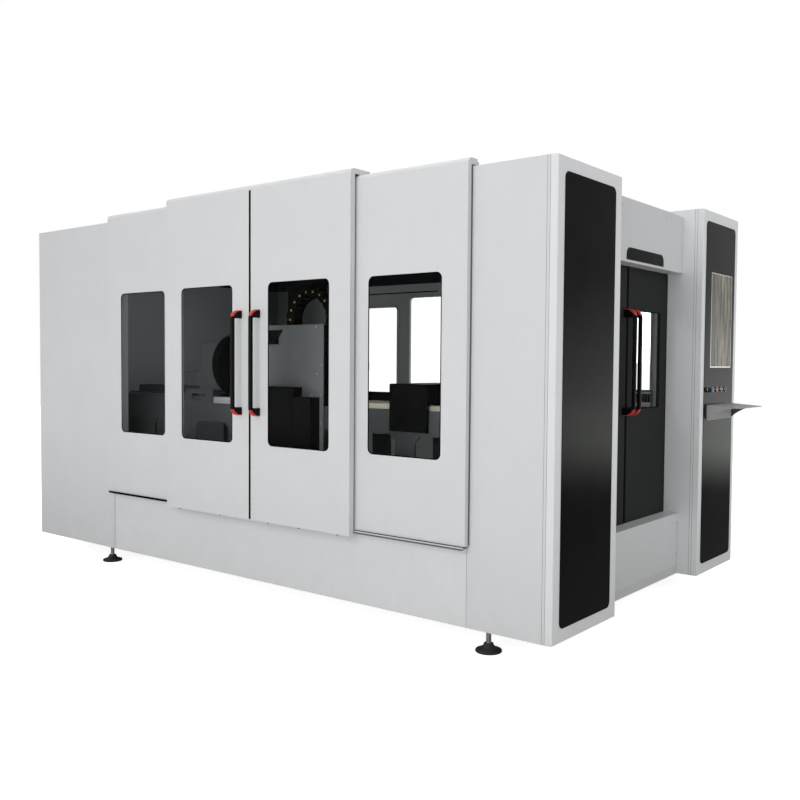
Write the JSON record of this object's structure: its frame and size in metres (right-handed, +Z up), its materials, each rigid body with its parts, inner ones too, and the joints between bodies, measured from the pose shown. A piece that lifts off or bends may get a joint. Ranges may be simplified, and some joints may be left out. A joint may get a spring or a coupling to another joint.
{
  "type": "enclosed fiber laser cutting machine",
  "caption": "Enclosed fiber laser tube cutting machine with sliding front doors, end doors, chucks on a bed, a cutting head and an operator panel.",
  "frame": {"origin": "on the floor, under the centre of the whole machine, tray and handles included", "axes": "+X runs to the operator's end, the sliding doors face -Y, +Z is up"},
  "size_m": [4.143, 2.359, 2.208],
  "materials": {
    "white_paint": "smooth semi-matt powder coat",
    "grey_paint": "semi-matt grey paint",
    "black_gloss": "gloss black sheet",
    "black_paint": "satin black paint",
    "tinted_glass": "polished, tinted",
    "handle_black": "fine satin",
    "foot_rubber": "matt moulded",
    "bright_steel": "zinc plated, bright",
    "ground_steel": "ground",
    "chuck_black": "blackened steel",
    "jaw_steel": "ground",
    "button_metal": "bright",
    "button_blue": "gloss",
    "button_red": "gloss",
    "button_green": "gloss",
    "button_black": "gloss",
    "screen": "anti-glare screen",
    "light_sheet": "smooth light grey",
    "head_silver": "satin anodised",
    "chain_black": "moulded nylon"
  },
  "bodies": {
    "machine": {"base_frame": "grey_paint", "foot_pads": "foot_rubber", "foot_studs": "bright_steel", "left_cabinet": "white_paint", "front_column": "white_paint", "control_column": "white_paint", "rear_wall": "white_paint", "rear_glass": "tinted_glass", "roof_panel": "white_paint", "front_sill": "white_paint", "header_panel": "white_paint", "end_sill": "white_paint", "roof_rails": "ground_steel", "sill_channel": "light_sheet", "end_door_track": "ground_steel", "column_covers": "white_paint", "black_panels": "black_gloss", "control_panel": "black_gloss", "monitor": "screen", "button_bezels": "button_metal", "keyboard_tray": "light_sheet", "bed": "grey_paint", "bed_rails": "ground_steel", "front_headstock": "grey_paint", "headstock_cover": "white_paint", "head_bracket": "black_paint", "drive_covers": "black_paint", "cable_chain": "chain_black", "laser_source": "grey_paint"},
    "sliding_door_1": {"front_door_1": "white_paint", "front_window_1": "tinted_glass"},
    "sliding_door_2": {"front_door_2": "white_paint", "front_window_2": "tinted_glass", "front_handle_2": "handle_black"},
    "sliding_door_3": {"front_door_3": "white_paint", "front_window_3": "tinted_glass", "front_handle_3": "handle_black"},
    "sliding_door_4": {"front_door_4": "white_paint", "front_window_4": "tinted_glass"},
    "end_leaf_near": {"end_door_near": "black_paint", "end_window_near": "tinted_glass", "end_handle_near": "handle_black"},
    "end_leaf_far": {"end_door_far": "black_paint", "end_window_far": "tinted_glass", "end_handle_far": "handle_black"},
    "selector": {"selector_knob": "button_black"},
    "push_blue": {"blue_button": "button_blue"},
    "push_red": {"red_button": "button_red"},
    "push_green": {"green_button": "button_green"},
    "push_black": {"black_button": "button_black"},
    "front_spindle": {"front_chuck": "chuck_black"},
    "jaw_1": {"chuck_jaw_1": "jaw_steel"},
    "jaw_2": {"chuck_jaw_2": "jaw_steel"},
    "jaw_3": {"chuck_jaw_3": "jaw_steel"},
    "jaw_4": {"chuck_jaw_4": "jaw_steel"},
    "cross_slide": {"cross_carriage": "black_paint"},
    "laser_head": {"cutting_head": "head_silver"},
    "rear_unit": {"rear_headstock": "grey_paint"},
    "rear_spindle": {"rear_chuck": "chuck_black"},
    "tail_unit": {"tail_support": "black_paint"}
  },
  "joints": [
    {"name": "front_door_1_slide", "type": "slide", "parent": "machine", "child": "sliding_door_1", "axis": [1, 0, 0], "range_m": [0, 0.64]},
    {"name": "front_door_2_slide", "type": "slide", "parent": "machine", "child": "sliding_door_2", "axis": [1, 0, 0], "range_m": [-0.642, 0]},
    {"name": "front_door_3_slide", "type": "slide", "parent": "machine", "child": "sliding_door_3", "axis": [1, 0, 0], "range_m": [0, 0.642]},
    {"name": "front_door_4_slide", "type": "slide", "parent": "machine", "child": "sliding_door_4", "axis": [1, 0, 0], "range_m": [-0.64, 0]},
    {"name": "end_door_near_slide", "type": "slide", "parent": "machine", "child": "end_leaf_near", "axis": [0, 1, 0], "range_m": [-0.44, 0]},
    {"name": "end_door_far_slide", "type": "slide", "parent": "machine", "child": "end_leaf_far", "axis": [0, 1, 0], "range_m": [0, 0.44]},
    {"name": "selector_turn", "type": "hinge", "parent": "machine", "child": "selector", "pos_m": [1.8885, 0.7155, 1.145], "axis": [1, 0, 0], "range_deg": [-45, 45]},
    {"name": "blue_button_press", "type": "slide", "parent": "machine", "child": "push_blue", "axis": [-1, 0, 0], "range_m": [0, 0.0035], "stiffness_N_per_m": 600},
    {"name": "red_button_press", "type": "slide", "parent": "machine", "child": "push_red", "axis": [-1, 0, 0], "range_m": [0, 0.0035], "stiffness_N_per_m": 600},
    {"name": "green_button_press", "type": "slide", "parent": "machine", "child": "push_green", "axis": [-1, 0, 0], "range_m": [0, 0.0035], "stiffness_N_per_m": 600},
    {"name": "black_button_press", "type": "slide", "parent": "machine", "child": "push_black", "axis": [-1, 0, 0], "range_m": [0, 0.0035], "stiffness_N_per_m": 600},
    {"name": "front_chuck_spin", "type": "hinge", "parent": "machine", "child": "front_spindle", "pos_m": [0.3085, -0.5505, 1.265], "axis": [1, 0, 0], "continuous": true},
    {"name": "jaw_1_clamp", "type": "slide", "parent": "front_spindle", "child": "jaw_1", "axis": [0, 0, 1], "range_m": [-0.045, 0.014]},
    {"name": "jaw_2_clamp", "type": "slide", "parent": "front_spindle", "child": "jaw_2", "axis": [0, -1, 0], "range_m": [-0.045, 0.014]},
    {"name": "jaw_3_clamp", "type": "slide", "parent": "front_spindle", "child": "jaw_3", "axis": [0, 0, -1], "range_m": [-0.045, 0.014]},
    {"name": "jaw_4_clamp", "type": "slide", "parent": "front_spindle", "child": "jaw_4", "axis": [0, 1, 0], "range_m": [-0.045, 0.014]},
    {"name": "head_cross_slide", "type": "slide", "parent": "machine", "child": "cross_slide", "axis": [0, 1, 0], "range_m": [-0.06, 0.06]},
    {"name": "head_lift_slide", "type": "slide", "parent": "cross_slide", "child": "laser_head", "axis": [0, 0, 1], "range_m": [-0.11, 0.06]},
    {"name": "rear_headstock_slide", "type": "slide", "parent": "machine", "child": "rear_unit", "axis": [1, 0, 0], "range_m": [-1, 0.34]},
    {"name": "rear_chuck_spin", "type": "hinge", "parent": "rear_unit", "child": "rear_spindle", "pos_m": [-0.5915, -0.5505, 1.265], "axis": [1, 0, 0], "continuous": true},
    {"name": "tail_support_slide", "type": "slide", "parent": "machine", "child": "tail_unit", "axis": [1, 0, 0], "range_m": [-0.33, 0.44]}
  ],
  "couplings": [
    {"joint": "jaw_2_clamp", "follows": "jaw_1_clamp", "ratio": 1},
    {"joint": "jaw_3_clamp", "follows": "jaw_1_clamp", "ratio": 1},
    {"joint": "jaw_4_clamp", "follows": "jaw_1_clamp", "ratio": 1}
  ]
}
